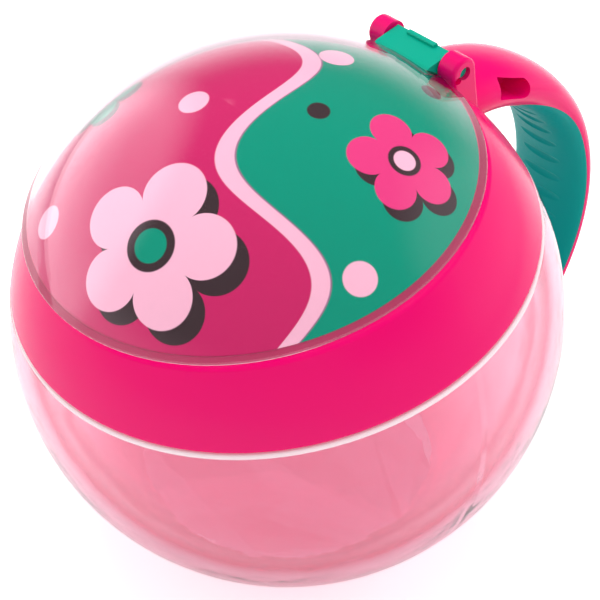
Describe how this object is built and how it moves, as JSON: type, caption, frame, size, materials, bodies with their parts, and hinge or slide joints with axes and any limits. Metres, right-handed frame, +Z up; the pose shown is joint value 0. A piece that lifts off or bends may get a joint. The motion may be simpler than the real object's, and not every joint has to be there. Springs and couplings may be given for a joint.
{
  "type": "toddler snack cup",
  "caption": "Ball-shaped toddler snack cup with a translucent bowl, tilted twist-on collar, hook handle with ribbed grip, soft entry flaps and a printed flip dome lid.",
  "frame": {"origin": "centre of the flat base at the table plane", "axes": "+Z up, +Y towards the handle and the lid hinge, +X to the user's right with the handle away, -Y is the front of the cup"},
  "size_m": [0.088, 0.1115, 0.079],
  "materials": {
    "clear_pink": "gloss, translucent pink copolyester",
    "magenta": "gloss, moulded polypropylene",
    "grip_teal": "satin, soft overmould",
    "flap_pink": "satin, soft elastomer",
    "lid_teal": "gloss, moulded polypropylene",
    "print": "printed film, gloss",
    "clear": "gloss, clear copolyester"
  },
  "bodies": {
    "bowl": {"bowl": "clear_pink"},
    "collar": {"collar": "magenta", "handle_shell": "magenta", "handle_grip": "grip_teal", "flap_ring": "flap_pink"},
    "lid": {"lid_shell": "lid_teal", "print_film": "print", "dome_cover": "clear"},
    "flap_1": {"flap_1": "flap_pink"},
    "flap_2": {"flap_2": "flap_pink"},
    "flap_3": {"flap_3": "flap_pink"},
    "flap_4": {"flap_4": "flap_pink"},
    "flap_5": {"flap_5": "flap_pink"},
    "flap_6": {"flap_6": "flap_pink"}
  },
  "joints": [
    {"name": "collar_twist", "type": "hinge", "parent": "bowl", "child": "collar", "pos_m": [0, 0, 0.0348], "axis": [0, -0.1942, 0.981], "range_deg": [0, 28]},
    {"name": "lid_hinge", "type": "hinge", "parent": "collar", "child": "lid", "pos_m": [0, 0.0263, 0.07265], "axis": [-1, 0, 0], "range_deg": [0, 130]},
    {"name": "flap_1_bend", "type": "hinge", "parent": "collar", "child": "flap_1", "pos_m": [0.01987, 0.00564, 0.06116], "axis": [0.5, -0.8435, -0.1963], "range_deg": [0, 70], "stiffness_Nm_per_rad": 0.002},
    {"name": "flap_2_bend", "type": "hinge", "parent": "collar", "child": "flap_2", "pos_m": [0, 0.01681, 0.06377], "axis": [1, 0, 0], "range_deg": [0, 70], "stiffness_Nm_per_rad": 0.002},
    {"name": "flap_3_bend", "type": "hinge", "parent": "collar", "child": "flap_3", "pos_m": [-0.01987, 0.00564, 0.06116], "axis": [0.5, 0.8435, 0.1963], "range_deg": [0, 70], "stiffness_Nm_per_rad": 0.002},
    {"name": "flap_4_bend", "type": "hinge", "parent": "collar", "child": "flap_4", "pos_m": [-0.01987, -0.0167, 0.05597], "axis": [-0.5, 0.8435, 0.1963], "range_deg": [0, 70], "stiffness_Nm_per_rad": 0.002},
    {"name": "flap_5_bend", "type": "hinge", "parent": "collar", "child": "flap_5", "pos_m": [0, -0.02788, 0.05337], "axis": [-1, 0, 0], "range_deg": [0, 70], "stiffness_Nm_per_rad": 0.002},
    {"name": "flap_6_bend", "type": "hinge", "parent": "collar", "child": "flap_6", "pos_m": [0.01987, -0.0167, 0.05597], "axis": [-0.5, -0.8435, -0.1963], "range_deg": [0, 70], "stiffness_Nm_per_rad": 0.002}
  ]
}
